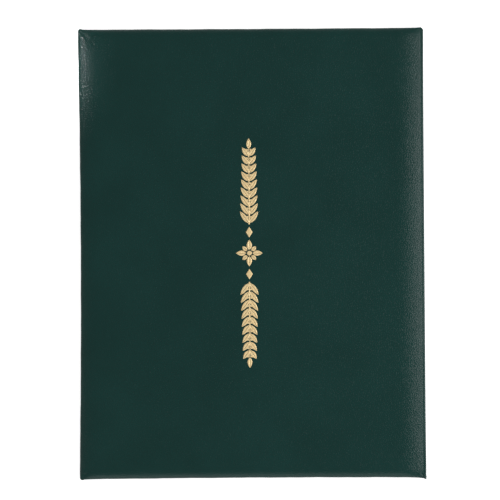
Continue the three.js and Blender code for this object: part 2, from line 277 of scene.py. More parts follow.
def cover_nodes():
    """Distances from the free edge and from the middle of the length where a cover has points."""
    width = SEAM_X - FREE_EDGE
    middle = width * MIDDLE_SHARE
    free = np.concatenate([rolled(FREE_ROLL)[:-1], opened_out(FREE_ROLL, middle, FREE_STEP, MESH_STEP)])
    spine = width - opened_out(0, width - middle, SPINE_STEP, MESH_STEP, SPINE_STEP_GROWTH)
    end = np.concatenate([rolled(END_ROLL)[:-1], opened_out(END_ROLL, HALF_LENGTH, END_STEP, MESH_STEP)])
    along = np.concatenate([end - HALF_LENGTH, HALF_LENGTH - end[-2::-1]])
    return np.concatenate([free, spine[-2::-1]]), along


def pad_height(a, b):
    """Height of the padded front, from 0 at the edges to 1 on the flat top.

    It is the product of a quarter ellipse from the free edge, one from the nearer end, and a parabola
    from the spine edge.
    """

    def ellipse(distance, width):
        return np.sqrt(np.clip(1 - (1 - np.clip(distance / width, 0, 1)) ** 2, 0, 1))

    def parabola(distance, width):
        return 1 - (1 - np.clip(distance / width, 0, 1)) ** 2

    free = ellipse(a, FREE_ROLL)
    end = ellipse(HALF_LENGTH - np.abs(b), END_ROLL)
    spine = parabola(SHEET_EDGE - FREE_EDGE - a, SPINE_SLOPE)
    return free * end * spine


RIPPLES = [
    # across, along: waves per metre; phase; height in millimetres
    (4.2, 2.6, 0.4, 0.05),
    (-3.1, 5.3, 1.9, 0.035),
    (9.0, -1.7, 4.1, 0.018),
]


def ripple(x, y):
    """Slight unevenness of the foam under the sheet: a few long waves added up."""
    total = np.zeros(np.broadcast(x, y).shape)
    for across, along, phase, height in RIPPLES:
        total += height * np.sin(2 * math.pi * MM * (across * x + along * y) + phase)
    return total


PUCKER_REACH = 4.0
PUCKER_HEIGHT = 0.22
PUCKERS = 9
PUCKER_CENTRE = 1.0  # how far inside the spine's face and beyond the ends the pleats fan out from
TAIL_PHASE, HEAD_PHASE = 0.6, 2.2
CREASE_INSET = 3.0
CREASE_REACH = 2.6
CREASE_HEIGHT = 0.1
CREASE_PACE = (0.9, 3.4)  # radians per millimetre across and along
HEAD_CREASE_SHARE = 0.3


def pucker(x, y):
    """Small pleats that fan out from the two spine corners, and short creases by the free corners."""
    dx = x - (SPINE_FACE - PUCKER_CENTRE)
    dy = HALF_LENGTH + PUCKER_CENTRE - np.abs(y)
    distance = np.hypot(dx, dy)
    angle = np.arctan2(dy, -dx)
    depth = np.where(y < 0, 1.0, HEAD_SHARE)
    phase = np.where(y < 0, TAIL_PHASE, HEAD_PHASE)
    fade = np.exp(-((distance / PUCKER_REACH) ** 2)) * np.clip(distance / 2, 0, 1)
    pleats = PUCKER_HEIGHT * depth * fade * np.sin(PUCKERS * angle + phase)
    away = np.hypot(x - FREE_EDGE - CREASE_INSET, np.abs(y) - HALF_LENGTH + CREASE_INSET)
    crease = np.where(y < 0, 1.0, HEAD_CREASE_SHARE) * np.exp(-((away / CREASE_REACH) ** 2))
    return pleats + CREASE_HEIGHT * crease * np.sin(CREASE_PACE[1] * np.abs(y) + CREASE_PACE[0] * x)


def front_surface(a, b):
    """Points of the padded front's top sheet, out to its three free edges."""
    inset = np.minimum(a, HALF_LENGTH - np.abs(b))
    x, y = plan(a, b, inset, corner_radius(inset))
    height = pad_height(a, b)
    rise = FRONT_TOP - FOOT
    z = FOOT + rise * height + ripple(x, y) * height + pucker(x, y)
    return np.stack([x, y, z], axis=-1)


def wrapped_cover(name, body, grid, rings, flip):
    """A sheet over a board: the face's grid, carried on by rings round its three free sides.

    rings are (inset, height, corner radius) for each loop outside the grid's own edge, which runs
    from the spine along the tail, up the free side and back along the head.
    """
    a, b = cover_nodes()
    rows, columns = grid.shape[:2]
    index = np.arange(rows * columns).reshape(rows, columns)
    edge = np.concatenate([index[0, ::-1], index[1:, 0], index[-1, 1:]])
    loop_a = np.concatenate([a[::-1], np.zeros(len(b) - 1), a[1:]])
    loop_b = np.concatenate([np.full(len(a), b[0]), b[1:], np.full(len(a) - 1, b[-1])])
    points, faces = [grid.reshape(-1, 3)], [grid_faces(index, flip)]
    last, start = edge, rows * columns
    for inset, height, radius in rings:
        ring_a = inset + loop_a * (a[-1] - inset) / a[-1]
        ring_b = loop_b * (HALF_LENGTH - inset) / HALF_LENGTH
        swell = BACK_SWELL_SHARE
        if body == "front":
            swell = max(0.0, 1 - abs(height - grid[0, 0, 2]) / WALL_SWELL_REACH)
        x, y = plan(ring_a, ring_b, inset, radius, swell)
        points.append(np.stack([x, y, np.full(len(x), height)], axis=-1))
        loop = start + np.arange(len(edge))
        faces.append(grid_faces(np.stack([last, loop]), flip))
        last, start = loop, start + len(edge)
    piece = make_mesh(name, np.concatenate(points), np.concatenate(faces), body)
    modify(piece, "SOLIDIFY", thickness=SHEET * MM, offset=-1.0, use_even_offset=False)
    return piece


def wall_rings(face_z, turn_z):
    """Rings from the face's edge down the wall, round the board's edge and in along the turn-in."""
    side = 1 if turn_z > face_z else -1
    rings = []
    for share in WALL_SHARES:
        z = face_z + share * (turn_z - side * EDGE_ROUND - face_z)
        bulge = WALL_BULGE * math.sin(math.pi * share)
        rings.append((-bulge, z, CORNER_RADIUS))
    for step in range(1, EDGE_ROUND_STEPS + 1):
        turn = step / EDGE_ROUND_STEPS * math.pi / 2
        inset = EDGE_ROUND * (1 - math.cos(turn))
        z = turn_z - side * EDGE_ROUND * (1 - math.sin(turn))
        rings.append((inset, z, CORNER_RADIUS - inset))
    for inset in TURN_IN_RINGS:
        rings.append((inset, turn_z, max(CORNER_RADIUS - inset, 0.3)))
    return rings


def make_front_cover():
    """The padded front sheet with its walls and turn-ins."""
    a, b = cover_nodes()
    grid = front_surface(*np.meshgrid(a, b))
    rings = wall_rings(FOOT, FRONT_LOW[2])
    piece = wrapped_cover("front_cover_sheet", "front", grid, rings, False)
    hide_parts("front_leatherette")
    return piece


def make_back_cover():
    """The flat back sheet with its rounded lower edge, walls and turn-ins."""
    a, b = cover_nodes()
    mesh_a, mesh_b = np.meshgrid(a, b)
    inset = np.minimum(mesh_a, HALF_LENGTH - np.abs(mesh_b))
    depth = np.clip(1 - inset / EDGE_ROUND, 0, 1)
    z = BACK_LOW[2] + EDGE_ROUND * (1 - np.sqrt(np.clip(1 - depth**2, 0, 1)))
    x, y = plan(mesh_a, mesh_b, inset, CORNER_RADIUS * (1 - np.clip(inset / CORNER_FADE, 0, 1)))
    grid = np.stack([x, y, z], axis=-1)
    rings = wall_rings(BACK_LOW[2] + EDGE_ROUND, BACK_HIGH[2])
    piece = wrapped_cover("back_cover_sheet", "back", grid, rings, True)
    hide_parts("back_leatherette")
    return piece


# Spine: a strip, doubled at head and tail, that bends at both folds

SPINE_MIDDLE = (SPINE_LOW[2] + SPINE_HIGH[2]) / 2
SPINE_SWELL = 0.2
SPINE_FLARE = 0.3
FLARE_POWER, PULL_POWER = 6, 12  # how steeply the flare and the drawn ends die away inwards
STRIP_STEPS = (0.08, 3.5)  # finest and coarsest step of a strip's mesh along the spine
SLOPE_STEP = 0.1
SWELL_START = 0.1  # how far past the seam the strip begins to stand off
HEAD_CUT = 1.9  # how far the strip's head falls back towards the spine's face
TAIL_OVERRUN = 0.3  # how far its folded tail stands out there
SEAM_LAP = 0.4  # how far one sheet runs on below the next, and how much deeper
SEAM_SINK = 0.03
LAP_END = 0.02
SEAM_START = 0.05


def arc(centre, radius, start, end, steps):
    """Points of an arc in the X-Z plane, angles in radians from +X towards +Z."""
    angle = np.linspace(start, end, steps)
    return np.stack([centre[0] + radius * np.cos(angle), centre[1] + radius * np.sin(angle)], axis=1)


def line(start, end, steps):
    """Points of a straight line in the X-Z plane."""
    return np.linspace(start, end, steps)


def joined_path(*pieces):
    """Paths end to end, without the points they share."""
    path = [pieces[0]]
    for piece in pieces[1:]:
        path.append(piece[1:] if np.allclose(piece[0], path[-1][-1], atol=1e-6) else piece)
    return np.concatenate(path)


def slope_height(x):
    """Height of the padded front's outside over the spine slope, away from the ends."""
    along = 1 - np.clip((SHEET_EDGE - x) / SPINE_SLOPE, 0, 1)
    return FOOT + (FRONT_TOP - FOOT) * (1 - along**2)


def outside_of_upper_fold():
    """Path from the front's sheet over the upper fold and down to the middle of the spine.

    The front's slope runs on to an arc that is tangent to it and to the spine's face.
    """
    centre_x = SPINE_FACE - UPPER_FOLD_RADIUS
    slope = (slope_height(SHEET_EDGE) - slope_height(SHEET_EDGE - SLOPE_STEP)) / SLOPE_STEP
    start = math.pi / 2 + math.atan(slope)
    touch = np.array([centre_x + UPPER_FOLD_RADIUS * math.cos(start), 0.0])
    touch[1] = slope_height(min(touch[0], SHEET_EDGE))
    centre = (centre_x, touch[1] - UPPER_FOLD_RADIUS * math.sin(start))
    lap_x = SEAM_X - SEAM_LAP
    lap_start = (lap_x, slope_height(lap_x) - SEAM_SINK)
    lap_end = (SEAM_X - LAP_END, slope_height(SEAM_X) - SEAM_SINK)
    seam_x = SEAM_X + SEAM_START
    top = joined_path(line(lap_start, lap_end, 3), line((seam_x, slope_height(seam_x)), touch, 4))
    fold = arc(centre, UPPER_FOLD_RADIUS, start, 0, 12)
    face = line((SPINE_FACE, centre[1]), (SPINE_FACE, SPINE_MIDDLE), 10)
    return joined_path(top, fold, face)


def outside_of_lower_fold():
    """Path from the middle of the spine down round the lower fold to the back's sheet."""
    centre = (SPINE_FACE - LOWER_FOLD_RADIUS, BACK_LOW[2] + LOWER_FOLD_RADIUS)
    lapped = SPINE_FACE - SEAM_SINK
    lap = line((lapped, SPINE_MIDDLE + SEAM_LAP), (lapped, SPINE_MIDDLE + LAP_END), 3)
    face = joined_path(lap, line((SPINE_FACE, SPINE_MIDDLE - SEAM_START), (SPINE_FACE, centre[1]), 8))
    fold = arc(centre, LOWER_FOLD_RADIUS, 0, -math.pi / 2, 12)
    under = line((centre[0], BACK_LOW[2]), (SEAM_X + SEAM_START, BACK_LOW[2]), 4)
    sunk = BACK_LOW[2] + SEAM_SINK
    return joined_path(face, fold, under, line((SEAM_X - LAP_END, sunk), (SEAM_X - SEAM_LAP, sunk), 3))


def path_normals(path):
    """Unit normals to the left of a path in the X-Z plane, which here is outwards."""
    tangent = np.gradient(path, axis=0)
    tangent /= np.linalg.norm(tangent, axis=1, keepdims=True)
    return np.stack([-tangent[:, 1], tangent[:, 0]], axis=1)


def folded_strip(path, thickness_at, ends, outward=1.0, crimp=None):
    """A strip along Y whose section follows a path, closed and with round ends.

    ends holds the tail's and the head's place along Y for each place of the path. thickness_at gives the
    strip's thickness for each place along Y. The round ends are half circles of that thickness. crimp
    moves the strip outwards by a function of the plan place, less where it turns under, and not below.
    """
    half = HALF_LENGTH
    v = graded(2 * half, *STRIP_STEPS) - half
    thickness = thickness_at(np.abs(v))
    over = np.clip((np.abs(v) - (half - thickness / 2)) / (thickness / 2), 0, 1)
    round_off = np.sqrt(np.clip(1 - over**2, 0, 1))
    normal = path_normals(path) * outward
    down = (thickness / 2 * (1 - round_off))[None, :, None]
    deep = (thickness / 2 * (1 + round_off))[None, :, None]
    reach = np.abs(v / half)[None, :] ** PULL_POWER
    end = np.where(v[None, :] < 0, ends[0][:, None] + half, ends[1][:, None] - half)
    base = np.zeros((len(path), len(v), 3))
    base[..., 0], base[..., 2] = path[:, None, 0], path[:, None, 1]
    base[..., 1] = v[None, :] + end * reach
    direction = np.zeros((len(path), 1, 3))
    direction[..., 0, 0], direction[..., 0, 2] = normal[:, 0], normal[:, 1]
    if crimp is not None:
        sideways = 1 + np.minimum(direction[..., 2], 0)
        base = base + direction * (crimp(base[..., 0], base[..., 1]) * sideways)[..., None]
    return shell(base - direction * down, base - direction * deep, outward > 0)


def spine_ends(path):
    """Tail and head of the spine's strip: square at the seams, and drawn out or back towards its face."""
    share = np.clip((path[:, 0] - SEAM_X) / (SPINE_FACE - SEAM_X), 0, 1)
    a = path[:, 0] - FREE_EDGE
    half = np.full(len(path), HALF_LENGTH)
    tail = plan(a, -half, 0, CORNER_RADIUS)[1] - TAIL_OVERRUN * share
    head = plan(a, half, 0, CORNER_RADIUS)[1] - HEAD_CUT * share**2
    return tail, head


def spine_crimp(x, y):
    """The pleats, and a flare where the sheet is doubled."""
    stand_off = SPINE_SWELL + SPINE_FLARE * np.abs(y / HALF_LENGTH) ** FLARE_POWER
    return pucker(x, y) + stand_off * np.clip(x - SEAM_X - SWELL_START, 0, 1)


def spine_thickness(y):
    """Single sheet in the middle, doubled where head and tail are turned in."""
    share = np.clip(y - (HALF_LENGTH - TURN_IN), 0, 1)
    return SHEET * (1 + share * share * (3 - 2 * share))


def spine_half(name, path):
    """One half of the spine's strip, along its path."""
    return make_mesh(name, *folded_strip(path, spine_thickness, spine_ends(path), crimp=spine_crimp))


def make_spine():
    """The spine's strip in two halves, each bending across one fold."""
    upper = spine_half("spine_sheet_upper", outside_of_upper_fold())
    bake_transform(upper)
    lower = spine_half("spine_sheet_lower", outside_of_lower_fold())
    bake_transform(lower)
    for piece in (upper, lower):
        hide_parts("spine_leatherette")
    return upper, lower


# Hinge lining: a strip from one board's inner face, through the hinge, to the other's

LINING_LOW, LINING_HIGH = node_box("spine_lining")
HINGE_SHEET = LINING_HIGH[0] - LINING_LOW[0]
HINGE_BEND = 0.45  # radius over a board's inner edge


def hinge_path(flange_z, leg_end_z):
    """Middle of the lining: over the board's inner face, down its edge, round and along the spine."""
    flange_x = node_box("back_hinge_lining")[0][0]
    leg_x = SEAM_X - HINGE_SHEET / 2
    strip_x = (LINING_LOW[0] + LINING_HIGH[0]) / 2
    side = 1 if leg_end_z > flange_z else -1
    turn = (strip_x - leg_x) / 2
    corner = (leg_x - HINGE_BEND, flange_z + side * HINGE_BEND)
    flange = line((flange_x, flange_z), (corner[0], flange_z), 8)
    over = arc(corner, HINGE_BEND, -side * math.pi / 2, 0, 7)
    leg = line((leg_x, corner[1]), (leg_x, leg_end_z - side * turn), 6)
    middle = (leg_x + turn, leg_end_z - side * turn)
    bottom = arc(middle, turn, math.pi, math.pi - side * math.pi, 11)
    strip = line((strip_x, middle[1]), (strip_x, SPINE_MIDDLE), 8)
    return joined_path(flange, over, leg, bottom, strip)


def make_hinge_lining():
    """The lining strip in two halves, each bending across one fold."""
    pieces = []
    half_sheet = HINGE_SHEET / 2
    back = node_box("back_hinge_lining")
    front = node_box("front_hinge_lining")
    half = back[1][1]
    halves = (
        ("hinge_lining_lower", back[1][2] - half_sheet, back[0][2] + half_sheet, "back", "spine"),
        ("hinge_lining_upper", front[0][2] + half_sheet, front[1][2] - half_sheet, "spine", "front"),
    )
    for name, flange_z, leg_end, first, second in halves:
        path = hinge_path(flange_z, leg_end)
        outward = 1.0 if second == "spine" else -1.0
        shifted = path + path_normals(path) * outward * half_sheet
        ends = np.full(len(path), -half), np.full(len(path), half)
        parts = folded_strip(shifted, lambda y: np.full(y.shape, HINGE_SHEET), ends, outward)
        piece = make_mesh(name, *parts)
        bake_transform(piece)
        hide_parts(f"{'back' if second == 'spine' else 'front'}_hinge_lining", "spine_lining")
        pieces.append(piece)
    return pieces


# Inner panels, pad, ribbons

RIBBON_WIDTH = 10.0
RIBBON_REACH = 34.0
RIBBON_TUCK = 3.0
RIBBON_THICKNESS = 0.26
RIBBON_GAP = 0.02  # air over the film
RIBBON_LIFT = 0.05  # how far the middle of a ribbon arches up
TUCK_GAP = 0.01
LINING_CARD = 0.6
TUCK_ROOM = 0.3  # depth of the rebate in the back panel where a ribbon is tucked under
REBATE_MARGIN = 1.0
PANEL_EDGE = 0.22  # width of a panel's softened edges
PANEL_STEPS = (0.5, 6.0)  # finest and coarsest step of its mesh
PAD_GAP = 0.03  # air between the foam and its neighbours
PAD_RIM = 0.05  # least height of the foam


def lining_panel(name, node, body):
    """A faced card: a thin slab with soft edges, and on the back one rebates for the ribbons."""
    low, high = node_box(node)
    bottom, top = (high[2] - LINING_CARD, high[2]) if body == "back" else (low[2], low[2] + LINING_CARD)
    x = low[0] + graded(high[0] - low[0], *PANEL_STEPS)
    y = low[1] + graded(high[1] - low[1], *PANEL_STEPS)
    grid_x, grid_y = np.meshgrid(x, y)
    p = np.minimum(grid_x - low[0], high[0] - grid_x)
    q = high[1] - np.abs(grid_y)
    across = p + q < RIBBON_REACH + 2 * REBATE_MARGIN
    rebate = across & (np.minimum(p, q) < RIBBON_TUCK + REBATE_MARGIN) & (body == "back")
    upper = np.stack([grid_x, grid_y, np.full(grid_x.shape, top)], axis=-1)
    lower = np.stack([grid_x, grid_y, bottom + TUCK_ROOM * rebate], axis=-1)
    piece = make_mesh(name, *shell(upper, lower), body)
    modify(piece, "BEVEL", width=PANEL_EDGE * MM, segments=3, limit_method="ANGLE", angle_limit=0.6)
    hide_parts(node)
    return piece


def make_pad():
    """The foam under the front sheet: the same rolled form, a sheet's thickness lower."""
    low, high = node_box("foam_pad")
    a, b = cover_nodes()
    mesh_a, mesh_b = np.meshgrid(a[::2], b[::2])
    inset = np.minimum(mesh_a, HALF_LENGTH - np.abs(mesh_b))
    x, y = plan(mesh_a, mesh_b, inset, corner_radius(inset))
    x = low[0] + (x - FREE_EDGE) * (high[0] - low[0]) / (SEAM_X - FREE_EDGE)
    y = y * high[1] / HALF_LENGTH
    height = pad_height(mesh_a, mesh_b)
    rise = (high[2] - low[2] - PAD_GAP) * height + (ripple(x, y) - PAD_GAP) * height
    top = np.stack([x, y, low[2] + np.maximum(rise, PAD_RIM)], axis=-1)
    bottom = np.stack([x, y, np.full(x.shape, low[2])], axis=-1)
    piece = make_mesh("foam_pad_soft", *shell(top, bottom), "front")
    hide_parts("foam_pad")
    return piece


def ribbon_corner(name, side, end):
    """A ribbon across one corner of the lining, wrapped round both edges and tucked under.

    With p and q the distances in from the two edges, the ribbon fills the band where p + q is between
    its inner and outer reach. A negative p or q goes round a half circle and back under the card.
    """
    low, high = node_box("back_lining")
    film_top = node_box("clear_film")[1][2]
    top = film_top + RIBBON_THICKNESS / 2 + RIBBON_GAP
    under = high[2] - LINING_CARD + RIBBON_THICKNESS / 2 + TUCK_GAP
    turn = (top - under) / 2
    reach = np.linspace(RIBBON_REACH - RIBBON_WIDTH * math.sqrt(2), RIBBON_REACH, 13)
    wrap = math.pi * turn + RIBBON_TUCK
    share = np.linspace(0, 1, 9)
    ends = np.concatenate([-wrap + (wrap - math.pi * turn) * share[:-1], -math.pi * turn * share[::-1]])
    middle = np.linspace(0, 1, 25)[1:-1]
    p = np.concatenate(
        [
            np.repeat(ends[:, None], len(reach), axis=1),
            middle[:, None] * reach[None, :],
            reach[None, :] - ends[::-1][:, None],
        ]
    )
    q = reach[None, :] - p

    def folded(distance):
        angle = np.clip(-distance / turn, 0, math.pi)
        tucked = np.maximum(-distance - math.pi * turn, 0)
        place = np.where(distance > 0, distance, tucked - turn * np.sin(angle))
        return place, np.where(distance > 0, 0, turn * (1 - np.cos(angle)))

    place_p, drop_p = folded(p)
    place_q, drop_q = folded(q)
    corner_x = high[0] if side > 0 else low[0]
    x = corner_x - side * place_p
    y = end * (high[1] - place_q)
    lift = RIBBON_LIFT * np.sin(math.pi * np.clip(p / reach, 0, 1)) ** 2
    grid = np.stack([x, y, top - drop_p - drop_q + lift], axis=-1)
    normal = normals_of(grid)
    facing = 1.0 if normal[len(grid) // 2, len(reach) // 2, 2] > 0 else -1.0
    half = normal * facing * RIBBON_THICKNESS / 2
    piece = make_mesh(name + "_band", *shell(grid + half, grid - half, facing < 0), "back")
    uv_along = np.cumsum(np.linalg.norm(np.diff(grid, axis=0, prepend=grid[:1]), axis=-1), axis=0)
    uv_across = np.broadcast_to((reach - reach[0]) / math.sqrt(2), uv_along.shape)
    add_uv(piece, np.stack([uv_across, uv_along], axis=-1).reshape(-1, 2) * MM)
    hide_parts(name)
    return piece


def add_uv(piece, uv):
    """A UV map from one value for each point of a sheet, the same on its upper and its lower face."""
    mesh = piece.data
    both = np.concatenate([uv, uv])
    corner = np.zeros(len(mesh.loops), np.int32)
    mesh.loops.foreach_get("vertex_index", corner)
    layer = mesh.uv_layers.new(name="weave")
    layer.data.foreach_set("uv", both[corner].astype(np.float32).ravel())


# Foil ornament: a rosette between two diamonds, and a laurel spray to each side

ORNAMENT_LENGTH = 152.0
ORNAMENT_X = -1.8
ROSETTE_REACH = 8.8
PETAL_WIDTH = 3.4
EYE_RADIUS = 2.1
EYE_SHARE = 0.72  # of the eye's radius, so that the petals stand clear of its disc
SHORT_PETAL, NARROW_PETAL = 0.72, 0.8
DIAMOND_LENGTH = 7.0
DIAMOND_WIDTH = 4.4
ORNAMENT_GAP = 1.6
LEAF_PAIRS = 9
LEAF_LENGTH = 10.0
TIP_LEAF_LENGTH = 7.0
LEAF_WIDTH = 3.1
LEAF_ANGLE = math.radians(36)
STEM_WIDTH = 0.9
STEM_TAPER = 0.45
LEAF_ROOT = 0.4  # share of the stem's width at which a leaf starts
LEAF_CUT = 0.4
BERRY_RADIUS = 0.85
BERRY_SHARE = 0.8
BERRY_OFFSET = 0.9  # in radii from the stem's side
BERRY_PLACE = 0.72  # between one pair of leaves and the next
LEAF_LEAD = 0.8  # below 1 the widest place of a leaf moves back from its middle
VEIN = 0.16  # bare line down a leaf's middle
VEIN_SHARE = 0.45  # most of a leaf's half width that it takes
FOIL_THICKNESS = 0.06
FOIL_CROWN = 0.03
FOIL_SINK = 0.02


def foil_patch(x, y, crown, turn):
    """A closed flake of foil over a grid of plan places, crowned by a share of 0 to 1.

    turn is 1 for the ornament's half towards the head and -1 for its half turned round to the tail.
    """
    x, y = ORNAMENT_X + turn * x, turn * y
    base = FRONT_TOP + ripple(x, y) - FOIL_SINK
    top = np.stack([x, y, base + FOIL_THICKNESS + FOIL_CROWN * crown], axis=-1)
    bottom = np.stack([x, y, base - FOIL_SINK], axis=-1)
    middle = len(top) // 2
    sideways = top[middle, -1] - top[middle, 0]
    forwards = top[-1, 0] - top[0, 0]
    return shell(top, bottom, sideways[0] * forwards[1] - sideways[1] * forwards[0] < 0)


def leaf(x, y, length, width, angle, turn):
    """Two halves of a pointed leaf beside its vein. The half width is widest a little before the middle."""
    t = np.linspace(0, 1, 13)[:, None]
    s = np.linspace(0, 1, 4)[None, :]
    forward = LEAF_LEAD * t * (1 - t) + t * t
    half_width = 2 * t * (1 - t) * width
    inner = np.minimum(VEIN / 2, half_width * VEIN_SHARE)
    parts = []
    for side in (-1, 1):
        across = side * (inner + s * (half_width - inner))
        along = forward * length + 0 * s
        px = x + along * math.sin(angle) + across * math.cos(angle)
        py = y + along * math.cos(angle) - across * math.sin(angle)
        parts.append(foil_patch(px, py, np.sin(math.pi * s) * np.sin(math.pi * t), turn))
    return parts


def disc(x, y, radius, turn):
    """A round flake: a square grid pressed into a circle."""
    u, v = np.meshgrid(np.linspace(-1, 1, 9), np.linspace(-1, 1, 9))
    longest = np.maximum(np.abs(u), np.abs(v))
    length = np.maximum(np.hypot(u, v), 1e-9)
    px, py = x + radius * u * longest / length, y + radius * v * longest / length
    return [foil_patch(px, py, 1 - longest**2, turn)]


def diamond(y, turn):
    """A rhombus on the ornament's middle line: a square grid turned by an eighth and drawn out."""
    u, v = np.meshgrid(np.linspace(-1, 1, 7), np.linspace(-1, 1, 7))
    px = (u - v) / 2 * DIAMOND_WIDTH / 2
    py = y + (u + v) / 2 * DIAMOND_LENGTH / 2
    return [foil_patch(px, py, (1 - u**2) * (1 - v**2), turn)]


def rosette():
    """Eight petals, long and short in turn, round an eye."""
    parts = disc(0, 0, EYE_RADIUS * EYE_SHARE, 1)
    for i in range(8):
        share, width = (1, 1) if i % 2 == 0 else (SHORT_PETAL, NARROW_PETAL)
        angle = i * math.pi / 4
        x, y = EYE_RADIUS * math.sin(angle), EYE_RADIUS * math.cos(angle)
        parts += leaf(x, y, share * ROSETTE_REACH - EYE_RADIUS, PETAL_WIDTH * width, angle, 1)
    return parts


def laurel(start, turn):
    """A spray: a tapering stem with pairs of leaves and berries, and a leaf at its tip."""
    stem_end = ORNAMENT_LENGTH / 2 - TIP_LEAF_LENGTH
    t = np.linspace(0, 1, 60)[:, None]
    s = np.linspace(-1, 1, 4)[None, :]
    stem_x = s * STEM_WIDTH / 2 * (1 - STEM_TAPER * t)
    stem_y = start + t * (stem_end - start) + 0 * s
    parts = [foil_patch(stem_x, stem_y, 1 - s**2 + 0 * t, turn)]
    parts += leaf(0, stem_end, TIP_LEAF_LENGTH, LEAF_WIDTH, 0, turn)
    step = (stem_end - start) / LEAF_PAIRS
    for i in range(LEAF_PAIRS):
        y = start + i * step + STEM_WIDTH
        length = LEAF_LENGTH + (TIP_LEAF_LENGTH - LEAF_LENGTH) * i / LEAF_PAIRS
        for side in (-1, 1):
            root = side * STEM_WIDTH * LEAF_ROOT
            parts += leaf(root, y, length - LEAF_CUT, LEAF_WIDTH, side * LEAF_ANGLE, turn)
            berry_x = side * (STEM_WIDTH / 2 + BERRY_RADIUS * BERRY_OFFSET)
            parts += disc(berry_x, y + step * BERRY_PLACE, BERRY_RADIUS * BERRY_SHARE, turn)
    return parts


def make_foil(node, parts):
    """One piece of foil from its flakes."""
    piece = make_mesh(node + "_flakes", *merged(parts), "front")
    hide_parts(node)
    return piece


def make_ornament():
    """All the foil on the front."""
    diamond_y = ROSETTE_REACH + ORNAMENT_GAP + DIAMOND_LENGTH / 2
    spray_start = diamond_y + DIAMOND_LENGTH / 2 + ORNAMENT_GAP
    pieces = [make_foil("foil_rosette", rosette())]
    for end, turn in (("head", 1), ("tail", -1)):
        pieces.append(make_foil(f"foil_diamond_{end}", diamond(diamond_y, turn)))
        pieces.append(make_foil(f"foil_laurel_{end}", laurel(spray_start, turn)))
    return pieces


# Materials


def new_group(name, setting, value, outputs):
    """An empty shader node group: a place and one setting go in, and numbers come out of its end."""
    group = bpy.data.node_groups.new(name, "ShaderNodeTree")
    group.interface.new_socket(name="Vector", in_out="INPUT", socket_type="NodeSocketVector")
    socket = group.interface.new_socket(name=setting, in_out="INPUT", socket_type="NodeSocketFloat")
    socket.default_value = value
    for label in outputs:
        group.interface.new_socket(name=label, in_out="OUTPUT", socket_type="NodeSocketFloat")
    start = group.nodes.new("NodeGroupInput").outputs
    return group, start["Vector"], start[setting], group.nodes.new("NodeGroupOutput")


def feed(tree, node, sockets):
    """Gives a node its inputs. sockets maps a socket's name or number to a value or another socket."""
    for key, value in sockets.items():
        if isinstance(value, bpy.types.NodeSocket):
            tree.links.new(value, node.inputs[key])
        else:
            node.inputs[key].default_value = value


def add(tree, kind, sockets=None, **settings):
    """A shader node of a kind with its settings and inputs."""
    made = tree.nodes.new("ShaderNode" + kind)
    for key, value in settings.items():
        setattr(made, key, value)
    feed(tree, made, sockets or {})
    return made


def math_node(tree, operation, *values):
    """A Math node's result."""
    return add(tree, "Math", dict(enumerate(values)), operation=operation).outputs[0]


def remap(tree, value, low, high, to_low, to_high):
    """A value carried from one range to another, held inside it."""
    sockets = {"Value": value, "From Min": low, "From Max": high, "To Min": to_low, "To Max": to_high}
    return add(tree, "MapRange", sockets, clamp=True).outputs["Result"]


def mix_colour(tree, factor, first, second):
    """A mix of two colours."""
    return add(tree, "Mix", {0: factor, 6: first, 7: second}, data_type="RGBA").outputs[2]


def noise(tree, place, scale, detail, **settings):
    """A noise texture's value and colour."""
    sockets = {"Vector": place, "Scale": scale, "Detail": detail, **settings}
    return add(tree, "TexNoise", sockets).outputs


def pebble_grain_group():
    """Leatherette grain: rounded pebbles between fine creases, with pores and slow changes of tone."""
    outputs = ("Height", "Crease", "Tone")
    group, place, scale, end = new_group("pebble_grain", "Pebbles per metre", 820.0, outputs)
    warp_scale = math_node(group, "MULTIPLY", scale, 0.6)
    warp = noise(group, place, warp_scale, 2.0)
    centred = {0: warp["Color"], 1: (0.5, 0.5, 0.5)}
    offset = add(group, "VectorMath", centred, operation="SUBTRACT")
    reach = {0: offset.outputs[0], "Scale": 0.0007}
    shift = add(group, "VectorMath", reach, operation="SCALE")
    moved = add(group, "VectorMath", {0: place, 1: shift.outputs[0]}, operation="ADD").outputs[0]
    cells = {"Vector": moved, "Scale": scale}
    edge = add(group, "TexVoronoi", cells, feature="DISTANCE_TO_EDGE").outputs["Distance"]
    crease = remap(group, edge, 0.0, 0.16, 1.0, 0.0)
    pores = noise(group, place, 5200.0, 3.0)[0]
    dome = remap(group, edge, 0.0, 0.4, 0.0, 1.0)
    rounded = math_node(group, "POWER", dome, 0.55)
    height = math_node(group, "ADD", rounded, math_node(group, "MULTIPLY", pores, 0.25))
    tone = noise(group, place, 28.0, 5.0)[0]
    feed(group, end, {"Height": height, "Crease": crease, "Tone": tone})
    return group


def moire_group():
    """Watered silk: fine ribs, and contour lines of a long soft noise that show as bright watermarks."""
    outputs = ("Watermark", "Ribs")
    group, place, rib_scale, end = new_group("watered_silk", "Ribs per metre", 1500.0, outputs)
    stretched = add(group, "Mapping", {"Vector": place, "Scale": (75.0, 14.0, 1.0)})
    slow = noise(group, stretched.outputs[0], 1.0, 2.0, Distortion=0.8)[0]
    bands = math_node(group, "MULTIPLY", slow, 9.0)
    waves = math_node(group, "PINGPONG", bands, 1.0)
    mark = math_node(group, "SMOOTH_MAX", remap(group, waves, 0.35, 0.95, 0.0, 1.0), 0.0, 0.1)
    parts = add(group, "SeparateXYZ", {0: place})
    phase = math_node(group, "MULTIPLY", parts.outputs["Y"], rib_scale)
    ribs = math_node(group, "PINGPONG", phase, 0.5)
    feed(group, end, {"Watermark": mark, "Ribs": math_node(group, "MULTIPLY", ribs, 2.0)})
    return group


